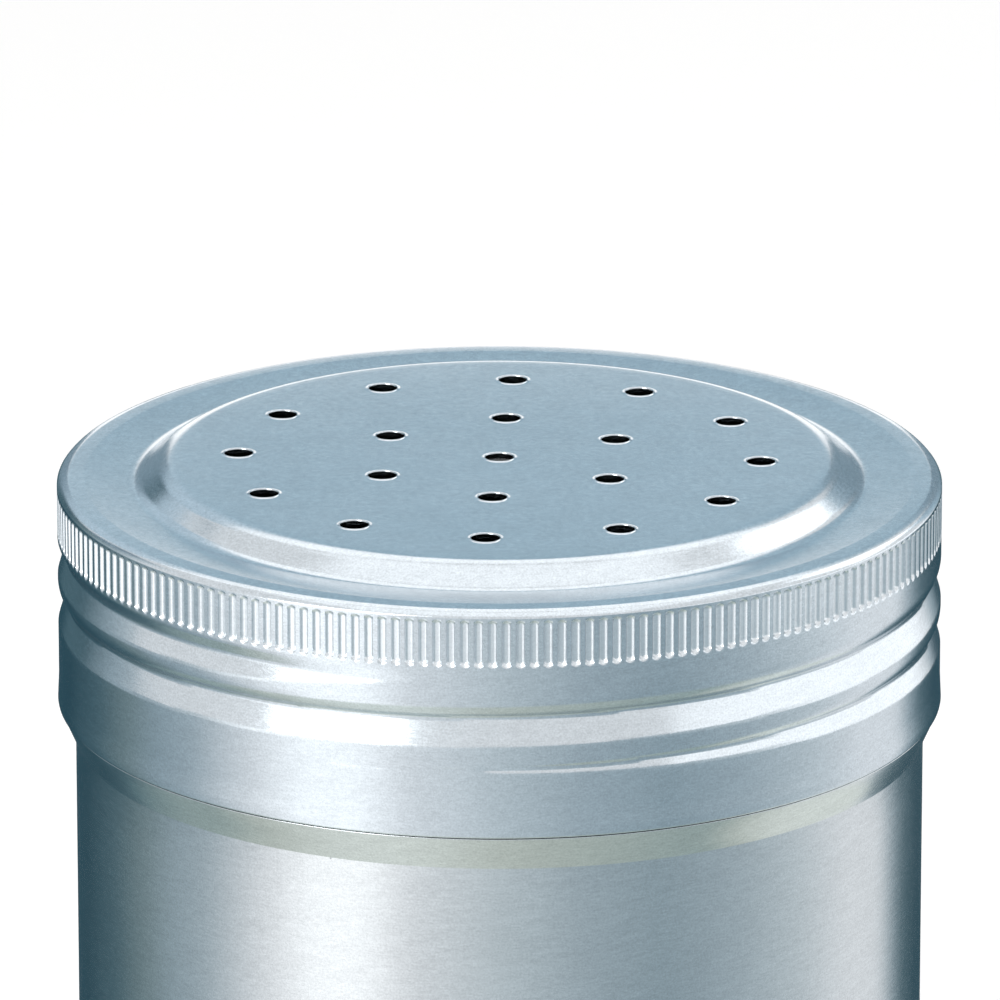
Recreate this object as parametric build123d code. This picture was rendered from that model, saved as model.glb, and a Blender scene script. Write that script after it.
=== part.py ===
"""Seasoning shaker of drawn stainless sheet: a straight can and the screw lid that closes it.

The lid is one pressed shell. Its raised panel is punched with concentric rings of round holes,
a shallow gutter runs round the panel, the rim carries a straight knurl for the fingers, and the
skirt below the knurl reaches down over the neck of the can. The can is one drawn shell with a
recessed base. A bead rolled out of its wall stands just under the lid's lower edge and falls
back to the wall in a short taper. The rim of the neck seats against the inside of the lid.

Units are millimetres. The origin is the centre of the face that the can stands on, and +Z is up.
Neck and skirt are left plain, with the room for their rolled thread between them.
"""
from build123d import *
import os
from math import acos, ceil, pi, radians, tan

# ---- driving sizes -------------------------------------------------------------------------
overall_height = 90.0          # standing face to the top of the lid's panel
can_diameter = 62.6            # outside of the straight wall, and of the neck
sheet = 0.5                    # thickness of both shells
thread_room = 0.8              # from the neck's outside to the skirt's inside, for the thread
flat_error = 0.12              # the most that the flats of a bend stand inside its arc

# lid
lid_depth = 17.0               # rim crest to the skirt's lower edge
panel_rise = 1.2               # panel top above the rim crest
gutter_depth = 0.35            # gutter floor below the rim crest
rim_crest_width = 2.5          # level top of the rim, measured in from its outside
gutter_width = 3.5             # from that level top in to the foot of the panel's step
step_width = 2.0               # the step from gutter to panel, measured along the radius
panel_inner_bend = 1.7         # inside of the bend at the panel's edge
gutter_bend = 1.5              # bend at the foot of the step, on the outside of the shell
rim_inner_bend = 0.2           # inside of the rim's bend

# knurl
knurl_ribs = 206               # round the rim, close to 1 mm apart
knurl_start = 0.8              # rim crest down to the upper end of the grooves
knurl_reach = 4.1              # rim crest down to their lower end
groove_depth = 0.24            # rib tip to the bottom of a groove
groove_share = 0.5             # width of a groove as a share of the rib pitch
groove_run_out = 35.0          # degrees from upright, both ends of a groove

# holes in the panel
hole_diameter = 2.0
hole_rings = 2                 # rings round the middle hole, each with six more holes than the last
hole_margin = 5.4              # outer ring of holes in from the panel's edge
hole_turn = -3.0               # degrees, the first hole of each ring round from the front

# can
seam_gap = 0.2                 # from the skirt's lower edge down to the bead
bead_proud = 0.15              # corner of the bead's two slopes outside the skirt, before its bend
bead_shoulder_height = 0.75    # that corner up to the neck
bead_taper_height = 2.3        # that corner down to the wall
bead_inner_bend = 0.25         # inside of the corner's bend
base_inner_corner = 2.5        # inside of the bend between wall and base
base_recess = 0.8              # middle of the base above the standing face
base_ring_width = 5.0          # standing ring, measured in from the corner's bend
base_ramp = 1.6                # ramp from standing ring to recess, measured along the radius

# ---- sizes that follow ---------------------------------------------------------------------
can_radius = can_diameter / 2
skirt_radius = can_radius + thread_room + sheet

crest_z = overall_height - panel_rise
gutter_z = crest_z - gutter_depth
neck_top_z = crest_z - sheet
knurl_top_z = crest_z - knurl_start
knurl_end_z = crest_z - knurl_reach
skirt_end_z = crest_z - lid_depth

crest_inner_radius = skirt_radius - rim_crest_width
step_foot_radius = crest_inner_radius - gutter_width
panel_radius = step_foot_radius - step_width
hole_pitch = (panel_radius - hole_margin) / hole_rings

base_corner = base_inner_corner + sheet
base_ring_outer = can_radius - base_corner
base_ring_inner = base_ring_outer - base_ring_width
recess_radius = base_ring_inner - base_ramp

# The bead stands its gap below the inner corner of the skirt's lower edge, the nearest point.
bead_radius = skirt_radius + bead_proud
shoulder_slope = bead_shoulder_height / (bead_radius - can_radius)
bead_z = skirt_end_z - seam_gap - shoulder_slope * (bead_proud + sheet)
bead_shoulder_z = bead_z + bead_shoulder_height
bead_taper_z = bead_z - bead_taper_height

SHARP = 0                      # the bend of a corner that has none


def flats_of(edge):
    """How many flats stand for an edge of the outline, by its turn and the error allowed."""
    if edge.geom_type != GeomType.CIRCLE:
        return 1
    widest = 2 * acos(1 - min(1, flat_error / edge.radius))
    return ceil(edge.length / edge.radius / widest)


def in_flats(outline):
    """The closed outline with its bends as short flats, which keep the shells light to mesh."""
    points = []
    for edge in outline.order_edges():
        flats = flats_of(edge)
        points += [edge @ (step / flats) for step in range(flats)]
    return Polyline(*points, close=True)


def drawn_shell(outside_points, bends, inner_side):
    """Make the shell whose outside line is given from the axis outwards, one sheet thick."""
    outside = FilletPolyline(*outside_points, radius=bends)
    outline = outside.offset_2d(sheet, kind=Kind.INTERSECTION, side=inner_side, closed=True)
    return revolve(make_face(Plane.XZ * in_flats(outline)), Axis.Z)


def knurl_grooves():
    """Cut-out bodies of the grooves between the ribs, sloped at both ends."""
    half_width = pi * skirt_radius / knurl_ribs * groove_share
    clear = groove_depth           # how far the bodies stand out of the rim
    bottom = skirt_radius - groove_depth
    outer = skirt_radius + clear
    outer_half_width = half_width * (groove_depth + clear) / groove_depth
    rise = groove_depth / tan(radians(groove_run_out))

    across = Polygon((bottom, 0), (outer, -outer_half_width), (outer, outer_half_width), align=None)
    wedge = extrude(Plane.XY.offset(skirt_end_z) * across, lid_depth)
    along = Polygon(
        (bottom, knurl_end_z + rise),
        (outer, knurl_end_z - rise),
        (outer, knurl_top_z + rise),
        (bottom, knurl_top_z - rise),
        align=None,
    )
    slab = extrude(Plane.XZ * along, outer_half_width, both=True)
    return PolarLocations(0, knurl_ribs) * (wedge & slab)


def panel_holes():
    """Punches of the middle hole and of the rings of holes round it."""
    front = -90                    # degrees round from +X
    spots = [Location((0, 0))]
    for ring in range(1, hole_rings + 1):
        spots += PolarLocations(ring * hole_pitch, 6 * ring, start_angle=front + hole_turn)
    punch = Cylinder(hole_diameter / 2, 4 * sheet)
    return [Pos(0, 0, overall_height) * spot * punch for spot in spots]


def screw_lid():
    """The pressed lid, knurled round its rim and punched."""
    points = [
        (0, overall_height),
        (panel_radius, overall_height),
        (step_foot_radius, gutter_z),
        (crest_inner_radius, crest_z),
        (skirt_radius, crest_z),
        (skirt_radius, skirt_end_z),
    ]
    bends = [panel_inner_bend + sheet, gutter_bend, SHARP, rim_inner_bend + sheet]
    shell = drawn_shell(points, bends, Side.RIGHT)
    return shell - knurl_grooves() - panel_holes()


def can_body():
    """The drawn can with its recessed base, straight wall, bead and neck."""
    points = [
        (0, base_recess),
        (recess_radius, base_recess),
        (base_ring_inner, 0),
        (can_radius, 0),
        (can_radius, bead_taper_z),
        (bead_radius, bead_z),
        (can_radius, bead_shoulder_z),
        (can_radius, neck_top_z),
    ]
    bends = [SHARP, SHARP, base_corner, SHARP, bead_inner_bend + sheet, SHARP]
    return drawn_shell(points, bends, Side.LEFT)


os.makedirs("parts", exist_ok=True)
for name, make in {"screw_lid": screw_lid, "can_body": can_body}.items():
    export_step(make(), f"parts/{name}.step")
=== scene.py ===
"""Dressed model of a seasoning shaker: a drawn steel can and the knurled screw lid that closes it.

Each shell is turned from its outline with mesh operators, then pressed: flutes go into the rim of
the lid, and two turns of rolled thread into its skirt and into the neck of the can. Outlines are
written in millimetres, with z measured up from the standing face, and turned into metres as they
are drawn. An azimuth is counted in degrees from the front (-Y), positive towards +X.
"""
import logging
from collections.abc import Sequence
from dataclasses import dataclass, field
from enum import Enum
from math import atan2, cos, degrees, hypot, pi, radians, sin, tan

import bmesh
import bpy
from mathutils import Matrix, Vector


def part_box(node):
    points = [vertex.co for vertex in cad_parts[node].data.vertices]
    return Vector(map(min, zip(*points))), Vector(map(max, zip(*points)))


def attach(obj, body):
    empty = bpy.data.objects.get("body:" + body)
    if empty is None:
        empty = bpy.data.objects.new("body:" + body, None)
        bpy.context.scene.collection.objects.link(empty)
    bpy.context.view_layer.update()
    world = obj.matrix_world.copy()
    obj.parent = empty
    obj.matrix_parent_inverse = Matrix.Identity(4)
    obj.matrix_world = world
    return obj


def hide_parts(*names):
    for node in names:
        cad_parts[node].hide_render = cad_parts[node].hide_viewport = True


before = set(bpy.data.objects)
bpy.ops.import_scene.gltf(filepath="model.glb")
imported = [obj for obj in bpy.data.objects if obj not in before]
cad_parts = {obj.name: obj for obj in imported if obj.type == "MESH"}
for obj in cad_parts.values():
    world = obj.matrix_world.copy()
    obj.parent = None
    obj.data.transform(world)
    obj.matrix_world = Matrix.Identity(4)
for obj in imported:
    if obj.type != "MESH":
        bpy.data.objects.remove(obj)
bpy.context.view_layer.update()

log = logging.getLogger("shaker")

MM = 0.001

SHEET = 0.5                                    # thickness of both shells
LID_LOW, LID_HIGH = (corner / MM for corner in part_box("screw_lid"))
CAN_LOW, CAN_HIGH = (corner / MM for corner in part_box("can_body"))
TOP_Z = LID_HIGH.z                             # top of the lid's panel
SKIRT_RADIUS = LID_HIGH.x                      # outside of the skirt
SKIRT_END_Z = LID_LOW.z                        # lower edge of the skirt
NECK_TOP_Z = CAN_HIGH.z                        # rim of the neck
CREST_Z = NECK_TOP_Z + SHEET                   # level top of the lid's rim
THREAD_PITCH = 3.7                             # rise of the thread in one turn

MERGE_DISTANCE = 1e-6                          # metres, under which two points are one
LEVEL = 1e-7                                   # metres, under which two heights are the same
SLACK = 1e-9                                   # metres, by which a point may leave its line


# ---- mesh making --------


@dataclass(frozen=True)
class Corner:
    """A corner of an outline, beside the axis.

    Fields:
        r: distance from the axis.
        z: height above the standing face.
        bend: radius that the corner is rounded to, or 0 for a sharp one.
        cuts: how many pieces the bend is made of.
        rows: how many pieces the straight run that starts here is cut into.
    """

    r: float
    z: float
    bend: float = 0.0
    cuts: int = 4
    rows: int = 1


def metres(r: float, z: float, azimuth: float = 0.0) -> Vector:
    """Place, in metres, of a point given in millimetres on an azimuth in radians."""
    return Vector((r * sin(azimuth), -r * cos(azimuth), z)) * MM


def azimuth_of(point: Vector) -> float:
    """Azimuth of a point in radians, from the front towards +X."""
    return atan2(point.x, -point.y)


def draw_outline(bm: bmesh.types.BMesh, corners: Sequence[Corner]) -> None:
    """Draw an outline as a chain of edges at the front, with its runs cut and its corners rounded.

    Args:
        bm: the empty mesh to draw in.
        corners: the outline's corners in order.
    """
    places = [metres(c.r, c.z) for c in corners]
    verts = [bm.verts.new(place) for place in places]
    for pair in zip(verts, verts[1:]):
        bm.edges.new(pair)
    for before, here, after, vert, corner in zip(
        places, places[1:], places[2:], verts[1:], corners[1:]
    ):
        if corner.bend:
            turn = (here - before).angle(after - here)
            bmesh.ops.bevel(
                bm, geom=[vert], offset=corner.bend * MM * tan(turn / 2),
                segments=corner.cuts, profile=0.5, affect="VERTICES", material=-1,
            )
    for start, end, corner in zip(places, places[1:], corners):
        if corner.rows > 1:
            run = [e for e in bm.edges if all(lies_between(v.co, start, end) for v in e.verts)]
            bmesh.ops.subdivide_edges(bm, edges=run, cuts=corner.rows - 1)


def lies_between(point: Vector, a: Vector, b: Vector) -> bool:
    """Whether a point lies on the straight line from a to b."""
    return (point - a).length + (b - point).length < (b - a).length + SLACK


def turned(corners: Sequence[Corner], steps: int) -> bmesh.types.BMesh:
    """Turn an outline once round the axis, a quarter first, which is then repeated.

    Args:
        corners: the outline's corners in order.
        steps: how many faces go round, a multiple of four.

    Returns:
        A mesh of the turned surface.
    """
    bm = bmesh.new()
    draw_outline(bm, corners)
    axis = {"cent": (0, 0, 0), "axis": (0, 0, 1)}
    bmesh.ops.spin(
        bm, geom=bm.verts[:] + bm.edges[:], angle=pi / 2, steps=steps // 4,
        use_duplicate=False, **axis,
    )
    bmesh.ops.spin(
        bm, geom=bm.verts[:] + bm.edges[:] + bm.faces[:], angle=3 * pi / 2, steps=3,
        use_duplicate=True, **axis,
    )
    bmesh.ops.remove_doubles(bm, verts=bm.verts[:], dist=MERGE_DISTANCE)
    return bm


def add(bm: bmesh.types.BMesh, part: bmesh.types.BMesh) -> None:
    """Put a part into a mesh, and free the part."""
    carrier = bpy.data.meshes.new("carrier")
    part.to_mesh(carrier)
    part.free()
    bm.from_mesh(carrier)
    bpy.data.meshes.remove(carrier)


def open_edges_at(
    bm: bmesh.types.BMesh, z: float, from_r: float = 0.0
) -> list[bmesh.types.BMEdge]:
    """Edges that have one face, at a height and beyond a distance from the axis.

    Args:
        bm: the mesh to look in.
        z: height.
        from_r: the least distance from the axis.

    Returns:
        The edges.
    """
    return [
        e for e in bm.edges
        if len(e.link_faces) == 1 and all(
            abs(v.co.z - z * MM) < LEVEL and hypot(v.co.x, v.co.y) > from_r * MM
            for v in e.verts
        )
    ]


def finished(
    bm: bmesh.types.BMesh, name: str, body: str, node: str, finish: "Finish"
) -> bpy.types.Object:
    """Close a mesh, make it an object and hang it in the frame.

    Args:
        bm: the mesh, which is freed.
        name: name of the piece.
        body: the body that it rides on.
        node: the solid that it stands for.
        finish: the finish that it gets.

    Returns:
        The piece's object.
    """
    bmesh.ops.remove_doubles(bm, verts=bm.verts[:], dist=MERGE_DISTANCE)
    bmesh.ops.recalc_face_normals(bm, faces=bm.faces[:])
    open_edges = sum(not e.is_manifold for e in bm.edges)
    for f in bm.faces:
        f.smooth = True
    mesh = bpy.data.meshes.new(name)
    bm.to_mesh(mesh)
    triangles = sum(len(f.verts) - 2 for f in bm.faces)
    bm.free()
    mesh.materials.append(finish.material())
    piece = bpy.data.objects.new(name, mesh)
    bpy.context.scene.collection.objects.link(piece)
    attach(piece, body)
    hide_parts(node)
    log.info("%s: %d triangles, %d open edges", name, triangles, open_edges)
    return piece


# ---- the screw thread --------


@dataclass(frozen=True)
class RolledThread:
    """Two turns of right-handed thread, rolled into sheet as a groove with a sharp crease.

    Fields:
        middle: height of the crease where it crosses the front.
        pitch: rise in one turn.
        start: azimuths, on from the front, where the upper end begins to run out and is gone.
        tail: the same for the lower end, back from the front.
        depth: how far the crease goes into the sheet.
        above: height of the rounded flank over the crease.
        below: height of the straight flank under the crease.
        held: height above which the sheet slopes back out to plain.
        limit: height where it is plain again.
        clear: how far below the first of these rows of the sheet stop being moved.
    """

    middle: float
    pitch: float = THREAD_PITCH
    start: tuple[float, float] = (318.0, 372.0)
    tail: tuple[float, float] = (240.0, 400.0)
    depth: float = 0.62
    above: float = 1.4
    below: float = 2.05
    held: float = CREST_Z - 5.4
    limit: float = CREST_Z - 4.4
    clear: float = 0.1

    def depth_at(self, azimuth: float, z: float) -> float:
        """Depth of the groove at a place.

        Args:
            azimuth: degrees from the front.
            z: height.

        Returns:
            How far the sheet is pressed in there.
        """
        deepest = 0.0
        for turn in (-360.0, 0.0, 360.0):
            share = self._share(azimuth + turn)
            if share > 0:
                off = min(z, self.held) - self._crease(azimuth + turn)
                section = self._section(off / share / (self.above if off > 0 else self.below))
                deepest = max(deepest, self.depth * share * section)
        return deepest * max(0.0, min(1.0, (self.limit - z) / (self.limit - self.held)))

    def settled(self, azimuth: float, z: float, reach: float) -> float:
        """Height of a row that is moved onto a line of the groove, if one is within reach.

        Args:
            azimuth: degrees from the front.
            z: height of the row.
            reach: how far it may move.

        Returns:
            Its new height.
        """
        for turn in (-360.0, 0.0, 360.0):
            crease, share = self._crease(azimuth + turn), self._share(azimuth + turn)
            for line in (crease, crease - self.below * share):
                if share > 0 and abs(z - line) < reach:
                    return line
        return z

    def _crease(self, along: float) -> float:
        """Height of the crease at an azimuth that is counted on from turn to turn."""
        return self.middle + self.pitch * along / 360

    def _share(self, along: float) -> float:
        """How fully the groove is rolled at such an azimuth, from 0 to 1."""
        full, end = self.start if along > 0 else self.tail
        return ease((end - abs(along)) / (end - full))

    @staticmethod
    def _section(off: float) -> float:
        """Depth as a share, at a height as a share of the flank's, positive over the crease."""
        if off > 0:
            return max(0.0, 1 - off) ** 2
        return max(0.0, 1 + off)


def ease(share: float) -> float:
    """Smooth step from 0 to 1 of a share, which is held between them."""
    held = max(0.0, min(1.0, share))
    return held * held * (3 - 2 * held)


# ---- finishes --------


class Value:
    """A number in a node tree, which expressions are written with."""

    def __init__(self, tree: "Nodes", socket: bpy.types.NodeSocket) -> None:
        """Wrap a socket of a tree."""
        self.tree = tree
        self.socket = socket

    def _maths(self, operation: str, first: object, second: object) -> "Value":
        """Add a Math node and return its result."""
        made = self.tree.node("ShaderNodeMath", {"operation": operation}, {0: first, 1: second})
        return Value(self.tree, made.outputs[0])

    def __add__(self, other: object) -> "Value":
        """Sum."""
        return self._maths("ADD", self, other)

    def __radd__(self, other: object) -> "Value":
        """Sum, reflected."""
        return self._maths("ADD", other, self)

    def __sub__(self, other: object) -> "Value":
        """Difference."""
        return self._maths("SUBTRACT", self, other)

    def __rsub__(self, other: object) -> "Value":
        """Difference, reflected."""
        return self._maths("SUBTRACT", other, self)

    def __mul__(self, other: object) -> "Value":
        """Product."""
        return self._maths("MULTIPLY", self, other)

    def __rmul__(self, other: object) -> "Value":
        """Product, reflected."""
        return self._maths("MULTIPLY", other, self)

    def __gt__(self, other: object) -> "Value":
        """1 where this is more than the other, and 0 elsewhere."""
        return self._maths("GREATER_THAN", self, other)


class Nodes:
    """A node tree that is built by adding nodes to it."""

    def __init__(self, tree: bpy.types.NodeTree) -> None:
        """Start from an empty tree."""
        self.tree = tree
        tree.nodes.clear()

    def node(self, kind: str, settings: dict, sockets: dict) -> bpy.types.Node:
        """Add a node.

        Args:
            kind: the node's type.
            settings: its properties, or the stops of a ramp under "stops", set first.
            sockets: a value or link for each input that has one, by name or number.

        Returns:
            The node.
        """
        made = self.tree.nodes.new(kind)
        for name, value in settings.items():
            if name == "stops":
                self._set_stops(made.color_ramp, value)
            else:
                setattr(made, name, value)
        for name, value in sockets.items():
            value = value.socket if isinstance(value, Value) else value
            if isinstance(value, bpy.types.NodeSocket):
                self.tree.links.new(value, made.inputs[name])
            else:
                made.inputs[name].default_value = value
        return made

    @staticmethod
    def _set_stops(ramp: bpy.types.ColorRamp, stops: Sequence[tuple]) -> None:
        """Give a ramp its stops, each a place and a colour."""
        while len(ramp.elements) < len(stops):
            ramp.elements.new(1.0)
        while len(ramp.elements) > len(stops):
            ramp.elements.remove(ramp.elements[-1])
        for element, (place, colour) in zip(ramp.elements, stops):
            element.position = place
            element.color = (*colour, 1.0)

    def value(self, kind: str, settings: dict, sockets: dict, output: int | str = 0) -> Value:
        """Add a node and return one of its results as a value.

        Args:
            kind: the node's type.
            settings: its properties.
            sockets: a value or link for each input that has one.
            output: which result is wanted.

        Returns:
            The result.
        """
        return Value(self, self.node(kind, settings, sockets).outputs[output])


@dataclass(frozen=True)
class Ring:
    """A ring-shaped room round the axis.

    Fields:
        inner: distance from the axis where it starts, in millimetres.
        outer: distance where it ends.
        low: height where it starts.
        high: height where it ends.
    """

    inner: float
    outer: float
    low: float
    high: float

    def holds(self, nodes: Nodes, place: bpy.types.NodeSocket) -> Value:
        """1 for places in the ring, and 0 for the rest.

        Args:
            nodes: the tree to work it out in.
            place: the place, in metres.

        Returns:
            The result.
        """
        level = nodes.node(
            "ShaderNodeVectorMath", {"operation": "MULTIPLY"}, {0: place, 1: (1.0, 1.0, 0.0)}
        )
        r = nodes.value(
            "ShaderNodeVectorMath", {"operation": "LENGTH"}, {0: level.outputs[0]}, "Value"
        )
        z = nodes.value("ShaderNodeSeparateXYZ", {}, {0: place}, "Z")
        across = (r > self.inner * MM) * (1.0 - (r > self.outer * MM))
        return across * (z > self.low * MM) * (1.0 - (z > self.high * MM))


TONE_SHARES = (0.3, 0.2, 0.1, 0.4)             # of lines, broad lines, cloud and grain in the tone
TONE_ENDS = ((0.38, 0.87), (0.62, 1.11))       # places on that tone, and the metal's colour there
BROAD_LINES = (4, 5, 9.0)                      # times as high and long as the lines, and degrees
BROAD_DEPTH = 1.5                              # depth of the broad lines, in depths of the lines
GRAIN_SCALE = 7000.0                           # per metre, as are the next two
CLOUD_SCALE = 60.0
SPECK_SCALE = 1300.0
PIT_COLOUR = (0.12, 0.13, 0.13, 1.0)
PIT_STRENGTH = 0.5                             # share of that colour in a pit
PIT_ROUGHNESS = 0.25                           # roughness that a pit adds
PIT_DEPTH = 4                                  # in depths of the lines
FROST_COLOUR = (0.90, 0.92, 0.93, 1.0)
FROST_STRENGTH = 0.35                          # share of that colour where the metal is matt
FROST_ROUGHNESS = 0.14                         # roughness that is added there
FROST_GRAIN = 4.0                              # grain that is added there, in depths of the grain


@dataclass(frozen=True)
class Finish:
    """Steel finished in fine lines that run round the axis.

    Fields:
        name: name of the material.
        colour: colour of the bare metal.
        roughness: mean roughness.
        roughness_spread: how far the lines and the cloud change it.
        line_depth: depth of the lines, in metres.
        line_height: how many lines there are per metre of height.
        line_length: how many times a line breaks per metre round the wall.
        grain_depth: depth of the even grain under the lines, in metres.
        speck_reach: how far below 1 the noise still makes a pit, so that more gives more pits.
        matt: where the tool has left the metal rough and pale, if anywhere.
    """

    name: str
    colour: tuple[float, float, float]
    roughness: float
    roughness_spread: float
    line_depth: float
    line_height: float
    line_length: float
    grain_depth: float
    speck_reach: float
    matt: Ring | None = None

    def material(self) -> bpy.types.Material:
        """Build the material."""
        material = bpy.data.materials.new(self.name)
        material.use_nodes = True
        nodes = Nodes(material.node_tree)
        place = nodes.node("ShaderNodeTexCoord", {}, {}).outputs["Object"]

        lines = self._lines(nodes, place, self.line_height, self.line_length, 0.0)
        higher, longer, slant = BROAD_LINES
        broad = self._lines(
            nodes, place, self.line_height / higher, self.line_length / longer, slant
        )
        grain = self._noise(nodes, place, GRAIN_SCALE, 2.0)
        cloud = self._noise(nodes, place, CLOUD_SCALE, 3.0)
        specks = self._noise(nodes, place, SPECK_SCALE, 1.0) > 1.0 - self.speck_reach
        matt = self.matt.holds(nodes, place) if self.matt else 0.0

        of_lines, of_broad, of_cloud, of_grain = TONE_SHARES
        stops = tuple(
            (at, tuple(min(1.0, share * c) for c in self.colour)) for at, share in TONE_ENDS
        )
        tone = nodes.node(
            "ShaderNodeValToRGB", {"stops": stops},
            {"Fac": of_lines * lines + of_broad * broad + of_cloud * cloud + of_grain * grain},
        )
        pitted = nodes.node(
            "ShaderNodeMix", {"data_type": "RGBA"},
            {0: PIT_STRENGTH * specks, 6: tone.outputs["Color"], 7: PIT_COLOUR},
        )
        frosted = nodes.node(
            "ShaderNodeMix", {"data_type": "RGBA"},
            {0: FROST_STRENGTH * matt, 6: pitted.outputs[2], 7: FROST_COLOUR},
        )
        rough = (
            self.roughness + self.roughness_spread * (lines - 0.5)
            + self.roughness_spread * (cloud - 0.5)
            + PIT_ROUGHNESS * specks + FROST_ROUGHNESS * matt
        )
        bump = nodes.node(
            "ShaderNodeBump", {},
            {
                "Strength": 1.0, "Distance": 1.0,
                "Height": self.line_depth * (lines + BROAD_DEPTH * broad)
                + self.grain_depth * (grain - 0.5) * (1.0 + FROST_GRAIN * matt)
                - PIT_DEPTH * self.line_depth * specks,
            },
        )
        shader = nodes.node(
            "ShaderNodeBsdfPrincipled", {},
            {
                "Base Color": frosted.outputs[2], "Metallic": 1.0, "Roughness": rough,
                "Normal": bump.outputs["Normal"],
            },
        )
        nodes.node("ShaderNodeOutputMaterial", {}, {"Surface": shader.outputs["BSDF"]})
        return material

    @staticmethod
    def _lines(
        nodes: Nodes, place: bpy.types.NodeSocket, height: float, length: float, slant: float
    ) -> Value:
        """Noise drawn out round the axis, at a slant in degrees."""
        slanted = nodes.node(
            "ShaderNodeMapping", {}, {"Vector": place, "Rotation": (0.0, radians(slant), 0.0)}
        )
        drawn = nodes.node(
            "ShaderNodeMapping", {},
            {"Vector": slanted.outputs["Vector"], "Scale": (length, length, height)},
        )
        return nodes.value(
            "ShaderNodeTexNoise", {},
            {"Vector": drawn.outputs["Vector"], "Scale": 1.0, "Detail": 3.0, "Roughness": 0.6},
        )

    @staticmethod
    def _noise(nodes: Nodes, place: bpy.types.NodeSocket, scale: float, detail: float) -> Value:
        """Noise that is alike in all directions."""
        return nodes.value(
            "ShaderNodeTexNoise", {}, {"Vector": place, "Scale": scale, "Detail": detail}
        )


class Steel(Enum):
    """The finishes of the shaker."""

    WALL = Finish(
        name="brushed_wall", colour=(0.62, 0.65, 0.67), roughness=0.21, roughness_spread=0.12,
        line_depth=4.2e-6, line_height=8000.0, line_length=1500.0, grain_depth=3.4e-6,
        speck_reach=0.16,
    )
    LID = Finish(
        name="satin_lid", colour=(0.60, 0.65, 0.69), roughness=0.18, roughness_spread=0.07,
        line_depth=2.0e-6, line_height=8000.0, line_length=2000.0, grain_depth=1.6e-6,
        speck_reach=0.06,
        matt=Ring(
            inner=SKIRT_RADIUS - 0.45, outer=SKIRT_RADIUS - 0.13,
            low=CREST_Z - 4.3, high=CREST_Z - 0.62,
        ),
    )


# ---- the lid --------


@dataclass
class Holes:
    """The punched holes of the panel: one in the middle and rings round it.

    Fields:
        radius: radius of a hole.
        pitch: distance from ring to ring.
        rings: how many rings.
        turn: degrees that the pattern is turned from the front.
        lip_height: how far the burr round a hole stands up.
        lip_width: width of that burr.
        margin: flat strip kept round each hole.
        land: height of the hole's straight wall, which the sheet breaks away under.
        flare: how much wider the hole is at the underside.
        steps: faces round a hole.
    """

    radius: float = 1.05
    pitch: float = 9.6
    rings: int = 2
    turn: float = -3.0
    lip_height: float = 0.06
    lip_width: float = 0.10
    margin: float = 0.25
    land: float = 0.14
    flare: float = 0.28
    steps: int = 40

    def centres(self) -> list[Vector]:
        """Places of the holes round the axis, in metres."""
        places = [Vector((0, 0, 0))]
        for ring in range(1, self.rings + 1):
            for number in range(6 * ring):
                azimuth = radians(self.turn + 360 * number / (6 * ring))
                places.append(metres(ring * self.pitch, 0, azimuth))
        return places

    def punch(self, bm: bmesh.types.BMesh) -> None:
        """Add the wall and lip of every hole, turned round its own middle.

        Args:
            bm: the mesh to add them to.
        """
        flat = self.radius + self.lip_width
        hole = bmesh.new()
        verts = [
            hole.verts.new(metres(out, TOP_Z + up))
            for out, up in (
                (flat + self.margin, 0.0),
                (flat, 0.0),
                (self.radius + 0.8 * self.lip_width, 0.7 * self.lip_height),
                (self.radius + 0.55 * self.lip_width, self.lip_height),
                (self.radius + 0.25 * self.lip_width, 0.7 * self.lip_height),
                (self.radius, -0.1 * self.lip_height),
                (self.radius, -self.land),
                (self.radius + self.flare, -SHEET),
                (self.radius + self.flare + self.margin, -SHEET),
            )
        ]
        edges = [hole.edges.new(pair) for pair in zip(verts, verts[1:])]
        bmesh.ops.spin(
            hole, geom=verts + edges, cent=(0, 0, 0), axis=(0, 0, 1), angle=2 * pi,
            steps=self.steps, use_merge=True, use_duplicate=False,
        )
        for centre in self.centres():
            copy = hole.copy()
            bmesh.ops.translate(copy, verts=copy.verts[:], vec=centre)
            add(bm, copy)
        hole.free()


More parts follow.
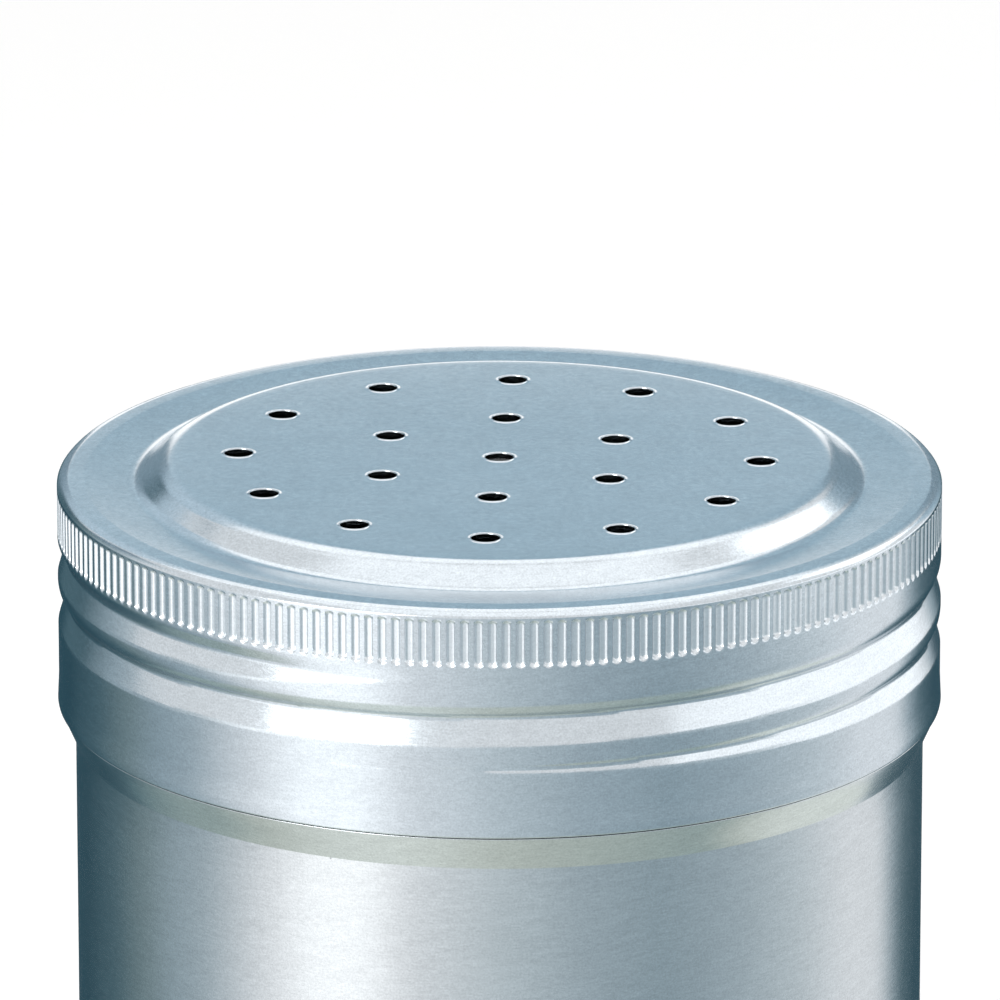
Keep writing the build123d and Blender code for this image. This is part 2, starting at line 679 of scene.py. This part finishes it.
@dataclass
class ScrewLid:
    """The pressed lid: punched panel, gutter, knurled rim and threaded skirt.

    Fields are sizes in millimetres, and heights are measured down from the crest of the rim.
    """

    panel_radius: float = 24.6             # where the panel's edge starts down
    panel_bend: float = 2.2
    panel_shift: float = 0.35              # that edge inside, in sheets nearer to the axis
    foot_radius: float = 26.6              # foot of the step
    foot_bend: float = 1.5
    foot_shift: float = 0.25               # the foot inside, in sheets nearer to the axis
    gutter: float = 0.35                   # foot of the step below the crest
    crest_radius: float = 30.5             # inner edge of the rim's level top
    crest_bend: float = 0.8
    rim_radius: float = 32.5
    rim_round: tuple[tuple[float, float, float, int], ...] = (
        (0.80, 0.0, 0.9, 4), (0.25, 0.16, 0.6, 4), (0.0, 0.46, 0.16, 3),
    )                                      # corners: in from the rim, down, bend and its pieces
    rim_inner_bend: float = 0.3
    fill_margin: float = 1.4               # fill of the flat panel stays clear of the edge's bend

    flutes: int = 206
    flute_top: float = 0.66                # upper end of a flute, in its middle
    flute_end: float = 4.18                # lower end of a flute, in its middle
    flute_depth: float = 0.22
    flute_cuts: int = 6                    # pieces of a flute's bottom
    flute_flatness: int = 8                # power of the curve from a flute's middle to its sides
    rib_tip: float = 0.33                  # width of the flat tip between two flutes
    arch: float = 0.22                     # how much lower a flute starts at its sides
    foot_arch: float = 0.28                # how much higher it ends there
    end_slope: float = 0.20                # length of the slope at each end of a flute
    knurl_top: float = 0.60
    knurl_end: float = 4.30
    top_zone: float = 0.55                 # height of the closer rows at the flutes' upper ends
    end_zone: float = 0.6                  # and at their lower ends
    bridge: float = 0.08                   # strip that joins the knurl to what is above and below
    bridge_depth: float = 0.2              # that strip's edges are looked for from here outwards

    skirt_rows: int = 52
    plain_from: float = 15.0               # below this the skirt has no thread
    row_reach: float = 0.09                # how far a row outside moves to meet the thread
    edge_bend: float = 0.15

    holes: Holes = field(default_factory=Holes)
    thread: RolledThread = field(default_factory=lambda: RolledThread(CREST_Z - 8.1))

    def build(self) -> bpy.types.Object:
        """Build the lid and hang it in the frame."""
        bm = bmesh.new()
        coarse = 2 * self.flutes
        fine = (self.flute_cuts + 1) * self.flutes
        flat_radius = self.panel_radius - self.fill_margin
        knurl_top_z, knurl_end_z = CREST_Z - self.knurl_top, CREST_Z - self.knurl_end
        above_z, below_z = knurl_top_z + self.bridge, knurl_end_z - self.bridge

        add(bm, turned(self._top_outline(flat_radius, above_z, 0.0), coarse))
        knurl = turned(
            (
                Corner(self.rim_radius, knurl_top_z, rows=5),
                Corner(self.rim_radius, knurl_top_z - self.top_zone, rows=2),
                Corner(self.rim_radius, knurl_end_z + self.end_zone, rows=6),
                Corner(self.rim_radius, knurl_end_z),
            ),
            fine,
        )
        self._press_flutes(knurl)
        add(bm, knurl)
        for outline, reach in (
            (self._skirt_outline(below_z), self.row_reach),
            (self._inner_outline(flat_radius), 0.0),
        ):
            wall = turned(outline, coarse)
            self._roll_thread(wall, reach)
            add(bm, wall)
        for heights in (above_z, knurl_top_z), (below_z, knurl_end_z):
            rings = [open_edges_at(bm, z, self.rim_radius - self.bridge_depth) for z in heights]
            bmesh.ops.bridge_loops(bm, edges=rings[0] + rings[1])

        self.holes.punch(bm)
        for z in (TOP_Z, TOP_Z - SHEET):
            bmesh.ops.triangle_fill(
                bm, use_beauty=True, edges=open_edges_at(bm, z), normal=(0, 0, 1)
            )
        return finished(bm, "screw_lid_shell", "lid", "screw_lid", Steel.LID.value)

    def _top_outline(self, start: float, end_z: float, inside: float) -> list[Corner]:
        """Outline of the lid's top, from the flat panel out to the rim.

        Args:
            start: distance from the axis where it starts.
            end_z: height at which the rim's side ends.
            inside: how far inside the outer surface the outline lies.

        Returns:
            The corners.
        """
        return [
            Corner(start, TOP_Z - inside),
            Corner(
                self.panel_radius - self.panel_shift * inside, TOP_Z - inside,
                self.panel_bend - inside, 8,
            ),
            Corner(
                self.foot_radius - self.foot_shift * inside, CREST_Z - self.gutter - inside,
                self.foot_bend + inside, 6,
            ),
            Corner(self.crest_radius, CREST_Z - inside, self.crest_bend, 3),
            *self._rim_corners(inside),
            Corner(self.rim_radius - inside, end_z),
        ]

    def _rim_corners(self, inside: float) -> list[Corner]:
        """Corners of the rim's round, drawn out flatter towards its top."""
        if inside:
            return [Corner(self.rim_radius - inside, CREST_Z - inside, self.rim_inner_bend, 3)]
        return [
            Corner(self.rim_radius - inwards, CREST_Z - down, bend, cuts)
            for inwards, down, bend, cuts in self.rim_round
        ]

    def _edge_radius(self) -> float:
        """Middle of the skirt's lower edge, from the axis."""
        return SKIRT_RADIUS - SHEET / 2

    def _skirt_outline(self, start_z: float) -> list[Corner]:
        """Outline of the skirt's outside from the knurl to the middle of its lower edge."""
        plain_z = CREST_Z - self.plain_from
        return [
            Corner(self.rim_radius, start_z, rows=self.skirt_rows),
            Corner(self.rim_radius, plain_z, rows=3),
            Corner(SKIRT_RADIUS, SKIRT_END_Z, self.edge_bend, 3),
            Corner(self._edge_radius(), SKIRT_END_Z),
        ]

    def _inner_outline(self, start: float) -> list[Corner]:
        """Outline of the lid's inside, from the flat panel to the middle of the lower edge."""
        knurl_end_z = CREST_Z - self.knurl_end
        plain_z = CREST_Z - self.plain_from
        inner_radius = self.rim_radius - SHEET
        top = self._top_outline(start, knurl_end_z, SHEET)
        return top[:-1] + [
            Corner(inner_radius, knurl_end_z, rows=self.skirt_rows // 2),
            Corner(inner_radius, plain_z, rows=2),
            Corner(SKIRT_RADIUS - SHEET, SKIRT_END_Z, self.edge_bend, 2),
            Corner(self._edge_radius(), SKIRT_END_Z),
        ]

    def _press_flutes(self, bm: bmesh.types.BMesh) -> None:
        """Press the flutes into the turned band of the rim.

        Args:
            bm: the band, with one more face to a flute than its bottom has pieces.
        """
        pitch = 2 * pi / self.flutes
        half = (pitch * self.rim_radius - self.rib_tip) / 2
        around = self.flute_cuts + 1
        edges = set()
        for v in bm.verts:
            flute, step = divmod(round(azimuth_of(v.co) / pitch * around), around)
            side = 2 * step / self.flute_cuts - 1
            below = CREST_Z - v.co.z / MM
            start = ease((below - self.flute_top - self.arch * side ** 2) / self.end_slope)
            end = ease((self.flute_end - self.foot_arch * side ** 2 - below) / self.end_slope)
            depth = self.flute_depth * (1 - side ** self.flute_flatness) * min(start, end)
            off = half * side / self.rim_radius
            v.co = metres(self.rim_radius - depth, v.co.z / MM, (flute + 0.5) * pitch + off)
            if step in (0, self.flute_cuts):
                edges.add(v)
        for e in bm.edges:
            a, b = e.verts
            upright = abs(a.co.z - b.co.z) > MERGE_DISTANCE
            e.smooth = not (upright and a in edges and b in edges)

    def _roll_thread(self, bm: bmesh.types.BMesh, reach: float) -> None:
        """Roll the thread into a side of the skirt.

        Args:
            bm: the side.
            reach: how far its rows may move up or down to meet the thread.
        """
        low, high = CREST_Z - self.plain_from, self.thread.held - self.thread.clear
        for v in bm.verts:
            azimuth, z = degrees(azimuth_of(v.co)), v.co.z / MM
            if low < z < high:
                z = self.thread.settled(azimuth, z, reach)
            depth = self.thread.depth_at(azimuth, z)
            if depth:
                r = hypot(v.co.x, v.co.y) / MM - depth
                v.co = metres(r, z, radians(azimuth))


# ---- the can --------


@dataclass
class CanBody:
    """The drawn can: recessed base, straight wall, bead under the lid, and threaded neck.

    Fields are sizes in millimetres.
    """

    wall_radius: float = 31.3
    base_recess: float = 0.8               # middle of the base above the standing face
    recess_radius: float = 21.7
    ring_radius: float = 23.3              # inner edge of the ring that the can stands on
    ring_bend: float = 0.8
    base_bend: float = 3.0
    bead_radius: float = 32.44
    bead_below: float = 0.08               # bead below the skirt's lower edge
    bead_bend: float = 0.05
    bead_shoulder: float = 0.1             # height of the slope over the bead
    shoulder_bend: float = 0.15
    bead_taper: float = 2.6                # height of the slope under it
    taper_bend: float = 0.1
    neck_rim_bend: float = 0.2
    neck_thread_low: float = 14.5          # rolled part of the neck, below the crest
    neck_thread_high: float = 1.2
    neck_rows: int = 40
    steps: int = 360

    inner_bead_inset: float = 0.6          # bead inside the shell: nearer to the axis than outside
    inner_bead_drop: float = 0.3           # and lower
    inner_bead_bend: float = 0.1
    inner_shoulder_bend: float = 0.3
    inner_taper_rise: float = 0.1          # foot of the taper inside, above that outside
    inner_taper_bend: float = 0.2

    ridge_height: float = 0.45             # thread of the neck, between the creases of the lid's
    ridge_width: float = 1.7
    ridge_middle: float = CREST_Z - 10.25
    ridge_turns: tuple[float, float] = (-120.0, 540.0)
    ridge_run_out: float = 40.0            # degrees over which its ends fade

    def build(self) -> bpy.types.Object:
        """Build the can and hang it in the frame."""
        bm = turned(self._outline(), self.steps)
        for v in bm.verts:
            if v.co.z / MM > SKIRT_END_Z:
                ridge = self._ridge_at(degrees(azimuth_of(v.co)), v.co.z / MM)
                v.co += Vector((v.co.x, v.co.y, 0)).normalized() * ridge * MM
        return finished(bm, "can_shell", "can", "can_body", Steel.WALL.value)

    def _ridge_at(self, azimuth: float, z: float) -> float:
        """Height of the neck's thread at an azimuth, in degrees, and at a height."""
        highest = 0.0
        start, end = self.ridge_turns
        for turn in (0.0, 360.0, 720.0):
            along = azimuth + turn
            across = (z - self.ridge_middle - THREAD_PITCH * along / 360) / (self.ridge_width / 2)
            if abs(across) < 1:
                run_out = ease((along - start) / self.ridge_run_out)
                run_out *= ease((end - along) / self.ridge_run_out)
                highest = max(highest, (0.5 + 0.5 * cos(pi * across)) * run_out)
        return self.ridge_height * highest

    def _outline(self) -> list[Corner]:
        """Outline of the can, up its outside from the middle of the base and down its inside."""
        bead_z = SKIRT_END_Z - self.bead_below
        inner_bead_z = bead_z - self.inner_bead_drop
        low, high = CREST_Z - self.neck_thread_low, CREST_Z - self.neck_thread_high
        r, inner = self.wall_radius, self.wall_radius - SHEET
        return [
            Corner(0, self.base_recess, rows=6),
            Corner(self.recess_radius, self.base_recess, self.ring_bend, 4),
            Corner(self.ring_radius, 0, self.ring_bend, 4),
            Corner(r, 0, self.base_bend, 10, rows=24),
            Corner(r, bead_z - self.bead_taper, self.taper_bend, 2, rows=3),
            Corner(self.bead_radius, bead_z, self.bead_bend, 6),
            Corner(r, bead_z + self.bead_shoulder, self.shoulder_bend, 3),
            Corner(r, low, rows=self.neck_rows),
            Corner(r, high),
            Corner(r, NECK_TOP_Z, self.neck_rim_bend, 3),
            Corner(inner, NECK_TOP_Z, self.neck_rim_bend, 3),
            Corner(inner, high, rows=self.neck_rows),
            Corner(inner, low),
            Corner(
                inner, bead_z + self.bead_shoulder - self.inner_bead_drop,
                self.inner_shoulder_bend, 2,
            ),
            Corner(
                self.bead_radius - self.inner_bead_inset, inner_bead_z, self.inner_bead_bend, 3
            ),
            Corner(
                inner, bead_z - self.bead_taper + self.inner_taper_rise,
                self.inner_taper_bend, 2, rows=12,
            ),
            Corner(inner, SHEET, self.base_bend - SHEET, 8),
            Corner(self.ring_radius, SHEET, self.ring_bend, 3),
            Corner(self.recess_radius, self.base_recess + SHEET, self.ring_bend, 3, rows=6),
            Corner(0, self.base_recess + SHEET),
        ]


# ---- the studio --------


@dataclass(frozen=True)
class Softbox:
    """A lamp with a large soft face, aimed at the shaker.

    Fields:
        name: name of the lamp.
        azimuth: degrees from the front, where the lamp stands.
        elevation: degrees above the point that it is aimed at.
        distance: metres from that point.
        width: metres.
        height: metres.
        brightness: brightness of its face, where 1 is white.
    """

    name: str
    azimuth: float
    elevation: float
    distance: float
    width: float
    height: float
    brightness: float

    def place(self, target: Vector) -> None:
        """Add the lamp.

        Args:
            target: the point that it is aimed at.
        """
        lamp = bpy.data.lights.new(self.name, "AREA")
        lamp.shape = "RECTANGLE"
        lamp.size, lamp.size_y = self.width, self.height
        lamp.energy = self.brightness * pi * self.width * self.height
        stand = bpy.data.objects.new(self.name, lamp)
        stand.visible_camera = False
        az, el = radians(self.azimuth), radians(self.elevation)
        away = Vector((sin(az) * cos(el), -cos(az) * cos(el), sin(el)))
        stand.location = target + away * self.distance
        stand.rotation_euler = away.to_track_quat("Z", "Y").to_euler()
        bpy.context.scene.collection.objects.link(stand)


CARD_WHITE = 1.65                              # brightness of a card's lightest tone


class Tone(Enum):
    """Tones of the cards that the steel reflects, as shares of CARD_WHITE."""

    DEEP = (0.015, 0.045, 0.062)
    DARK = (0.05, 0.095, 0.115)
    DIM = (0.13, 0.18, 0.19)
    HAZE = (0.15, 0.21, 0.25)
    DUSK = (0.215, 0.275, 0.305)
    MID = (0.28, 0.335, 0.365)
    PALE = (0.41, 0.455, 0.475)
    WHITE = (0.61, 0.62, 0.63)
    LIT = (0.92, 0.92, 0.92)
    COOL = (0.255, 0.35, 0.41)
    SKY = (0.37, 0.455, 0.515)
    MOSS_DARK = (0.09, 0.15, 0.165)
    MOSS = (0.23, 0.29, 0.28)
    SAND = (0.40, 0.43, 0.39)
    SUN = (0.57, 0.60, 0.56)


@dataclass(frozen=True)
class Card:
    """A card bent round the shaker, which only its steel sees.

    Fields:
        name: name of the card.
        start: azimuth of its one end, in degrees.
        end: azimuth of its other end.
        outline: radius and height of its lower and upper edge, in metres.
        tones: its tone at each of several azimuths, in degrees, from -90 up to 270.
    """

    name: str
    start: float
    end: float
    outline: tuple[tuple[float, float], tuple[float, float]]
    tones: tuple[tuple[float, Tone], ...]

    def place(self) -> None:
        """Add the card."""
        bm = bmesh.new()
        verts = [
            bm.verts.new(metres(r / MM, z / MM, radians(self.start))) for r, z in self.outline
        ]
        edge = bm.edges.new(verts)
        bmesh.ops.spin(
            bm, geom=[*verts, edge], cent=(0, 0, 0), axis=(0, 0, 1),
            angle=radians(self.end - self.start), steps=48,
        )
        mesh = bpy.data.meshes.new(self.name)
        bm.to_mesh(mesh)
        bm.free()
        mesh.materials.append(self._face())
        card = bpy.data.objects.new(self.name, mesh)
        card.visible_camera = False
        card.visible_diffuse = False
        card.visible_shadow = False
        bpy.context.scene.collection.objects.link(card)

    def _face(self) -> bpy.types.Material:
        """Material of the card, toned by azimuth."""
        material = bpy.data.materials.new(self.name)
        material.use_nodes = True
        nodes = Nodes(material.node_tree)
        place = nodes.node("ShaderNodeTexCoord", {}, {}).outputs["Object"]
        round_axis = nodes.value(
            "ShaderNodeTexGradient", {"gradient_type": "RADIAL"}, {"Vector": place}, 1
        )
        tone = nodes.node(
            "ShaderNodeValToRGB",
            {"stops": tuple(((az + 90) / 360, tone.value) for az, tone in self.tones)},
            {"Fac": round_axis},
        )
        face = nodes.node(
            "ShaderNodeEmission", {}, {"Color": tone.outputs["Color"], "Strength": CARD_WHITE}
        )
        nodes.node("ShaderNodeOutputMaterial", {}, {"Surface": face.outputs[0]})
        return material


@dataclass
class Studio:
    """Camera, floor, surroundings and lamps."""

    distance: float = 0.8462               # camera to the point that it looks at, metres
    elevation: float = 17.82               # degrees
    look_below_crest: float = 2.09         # millimetres
    lens: float = 414.5                    # millimetres, as is the sensor's width
    sensor: float = 36.0
    aside: float = 0.00004                 # camera to the right of the axis, metres
    lamp_aim: float = 0.075                # height that the lamps are aimed at, metres
    soft: float = 0.45                     # even light of the surroundings
    white: float = 1.0                     # brightness of the surroundings where they are seen
    floor_size: float = 12.0               # metres
    floor_colour: tuple[float, ...] = (0.80, 0.80, 0.78, 1.0)
    floor_lift: tuple[float, ...] = (0.45, 0.45, 0.46, 1.0)
    lamps: tuple[Softbox, ...] = (
        Softbox("key_softbox", -42, 22, 0.75, 0.40, 0.60, 5.0),
        Softbox("side_softbox", 126, 37, 0.75, 0.45, 0.32, 1.1),
        Softbox("top_softbox", 0, 86, 0.8, 0.8, 0.8, 0.4),
    )
    walls: tuple[tuple[float, Tone], ...] = (
        (-90, Tone.DUSK), (-78, Tone.MID), (-60, Tone.WHITE), (-46, Tone.LIT),
        (-33, Tone.LIT), (-22, Tone.WHITE), (0, Tone.PALE), (20, Tone.MID), (40, Tone.DUSK),
        (60, Tone.MID), (80, Tone.PALE), (98, Tone.WHITE), (115, Tone.WHITE),
        (123, Tone.DUSK), (130, Tone.DARK), (145, Tone.DEEP), (220, Tone.DEEP),
        (243, Tone.DARK), (258, Tone.DIM), (270, Tone.DUSK),
    )
    band: tuple[tuple[float, Tone], ...] = (
        (-90, Tone.MID), (-76, Tone.PALE), (-58, Tone.LIT), (-33, Tone.LIT),
        (-22, Tone.WHITE), (0, Tone.PALE), (20, Tone.MID), (40, Tone.MID), (60, Tone.PALE),
        (78, Tone.LIT), (122, Tone.LIT), (131, Tone.WHITE), (139, Tone.DUSK),
        (150, Tone.DARK), (236, Tone.DARK), (252, Tone.DUSK), (262, Tone.MID),
        (270, Tone.MID),
    )
    ground: tuple[tuple[float, Tone], ...] = (
        (-90, Tone.MOSS), (-84, Tone.MOSS), (-68, Tone.SAND), (-45, Tone.SUN),
        (-25, Tone.SUN), (0, Tone.SAND), (60, Tone.MOSS), (70, Tone.SAND), (84, Tone.SUN),
        (125, Tone.SUN), (138, Tone.MOSS_DARK), (165, Tone.DEEP), (205, Tone.DEEP),
        (240, Tone.MOSS_DARK), (264, Tone.MOSS), (270, Tone.MOSS),
    )
    left_flag: tuple[tuple[float, Tone], ...] = (
        (198, Tone.HAZE), (208, Tone.HAZE), (216, Tone.DARK), (228, Tone.DARK),
        (238, Tone.DIM), (250, Tone.MID), (262, Tone.PALE),
    )
    left_high: tuple[tuple[float, Tone], ...] = (
        (232, Tone.HAZE), (244, Tone.HAZE), (254, Tone.PALE), (262, Tone.WHITE),
    )
    right_flag: tuple[tuple[float, Tone], ...] = (
        (130, Tone.SKY), (138, Tone.COOL), (148, Tone.HAZE), (162, Tone.HAZE),
    )
    bright: tuple[tuple[float, Tone], ...] = ((0, Tone.LIT), (180, Tone.LIT))
    sky: tuple[tuple[float, Tone], ...] = ((165, Tone.COOL), (188, Tone.COOL), (205, Tone.SKY))

    def cards(self) -> list[Card]:
        """The cards round the shaker: ground, floor, wall, flags and sky."""
        return [
            Card("ground_card", -180, 180, ((0.032, 0.0006), (0.105, 0.001)), self.ground),
            Card("floor_card", -180, 180, ((0.105, 0.001), (0.15, 0.001)), self.walls),
            Card("wall_card", -180, 180, ((0.15, 0.001), (0.155, 0.049)), self.walls),
            Card("band_card", -180, 180, ((0.155, 0.049), (0.16, 0.082)), self.band),
            Card("side_card", 40, 130, ((0.16, 0.082), (0.165, 0.112)), self.bright),
            Card("right_flag", 130, 162, ((0.162, 0.082), (0.17, 0.158)), self.right_flag),
            Card("left_flag", 198, 262, ((0.162, 0.082), (0.17, 0.145)), self.left_flag),
            Card("left_high", 232, 262, ((0.17, 0.145), (0.172, 0.215)), self.left_high),
            Card("horizon_card", 162, 198, ((0.162, 0.082), (0.17, 0.120)), self.bright),
            Card("sky_card", 152, 226, ((0.17, 0.128), (0.20, 0.26)), self.sky),
            Card("high_card", 140, 220, ((0.20, 0.262), (0.14, 0.36)), self.bright),
        ]

    def camera(self) -> None:
        """Make the camera."""
        data = bpy.data.cameras.new("camera")
        data.sensor_width = self.sensor
        data.lens = self.lens
        data.clip_start, data.clip_end = 0.01, 100.0
        camera = bpy.data.objects.new("camera", data)
        bpy.context.scene.collection.objects.link(camera)
        aim = Vector((self.aside, 0, (CREST_Z - self.look_below_crest) * MM))
        el = radians(self.elevation)
        away = Vector((0, -cos(el), sin(el)))
        camera.location = aim + away * self.distance
        camera.rotation_euler = away.to_track_quat("Z", "Y").to_euler()
        bpy.context.scene.camera = camera

    def surroundings(self) -> None:
        """Make the floor, the lamps, the cards and the white beyond them."""
        self._world()
        self._floor()
        target = Vector((0, 0, self.lamp_aim))
        for lamp in self.lamps:
            lamp.place(target)
        for card in self.cards():
            card.place()

    @staticmethod
    def _seen(nodes: Nodes) -> Value:
        """1 for rays that come straight, mirrored or through glass, and 0 for the rest."""
        path = nodes.node("ShaderNodeLightPath", {}, {})
        seen = Value(nodes, path.outputs["Is Camera Ray"])
        seen = seen + Value(nodes, path.outputs["Is Glossy Ray"])
        seen = seen + Value(nodes, path.outputs["Is Transmission Ray"])
        return seen > 0.5

    def _world(self) -> None:
        """White where it is seen, and a soft even light elsewhere."""
        world = bpy.data.worlds.new("surroundings")
        bpy.context.scene.world = world
        world.use_nodes = True
        nodes = Nodes(world.node_tree)
        soft, white = (
            nodes.node(
                "ShaderNodeBackground", {}, {"Color": (1.0, 1.0, 1.0, 1.0), "Strength": strength}
            ).outputs[0]
            for strength in (self.soft, self.white)
        )
        light = nodes.node("ShaderNodeMixShader", {}, {0: self._seen(nodes), 1: soft, 2: white})
        nodes.node("ShaderNodeOutputWorld", {}, {"Surface": light.outputs[0]})

    def _floor(self) -> None:
        """Pale floor, lifted to white where the camera sees it unshaded."""
        bm = bmesh.new()
        bmesh.ops.create_grid(bm, x_segments=4, y_segments=4, size=self.floor_size / 2)
        mesh = bpy.data.meshes.new("floor")
        bm.to_mesh(mesh)
        bm.free()
        floor = bpy.data.objects.new("floor", mesh)
        bpy.context.scene.collection.objects.link(floor)
        material = bpy.data.materials.new("pale_floor")
        material.use_nodes = True
        nodes = Nodes(material.node_tree)
        lift = nodes.node(
            "ShaderNodeMix", {"data_type": "RGBA"},
            {0: self._seen(nodes), 6: (0.0, 0.0, 0.0, 1.0), 7: self.floor_lift},
        )
        shader = nodes.node(
            "ShaderNodeBsdfPrincipled", {},
            {
                "Base Color": self.floor_colour, "Roughness": 0.9,
                "Emission Color": lift.outputs[2], "Emission Strength": 1.0,
            },
        )
        nodes.node("ShaderNodeOutputMaterial", {}, {"Surface": shader.outputs["BSDF"]})
        mesh.materials.append(material)


def main() -> None:
    """Build the camera, the lid, the can and the studio."""
    logging.basicConfig(level=logging.INFO, format="%(message)s")
    bpy.context.scene.view_settings.view_transform = "Standard"
    studio = Studio()
    studio.camera()
    ScrewLid().build()
    CanBody().build()
    studio.surroundings()


if __name__ == "__main__":
    main()
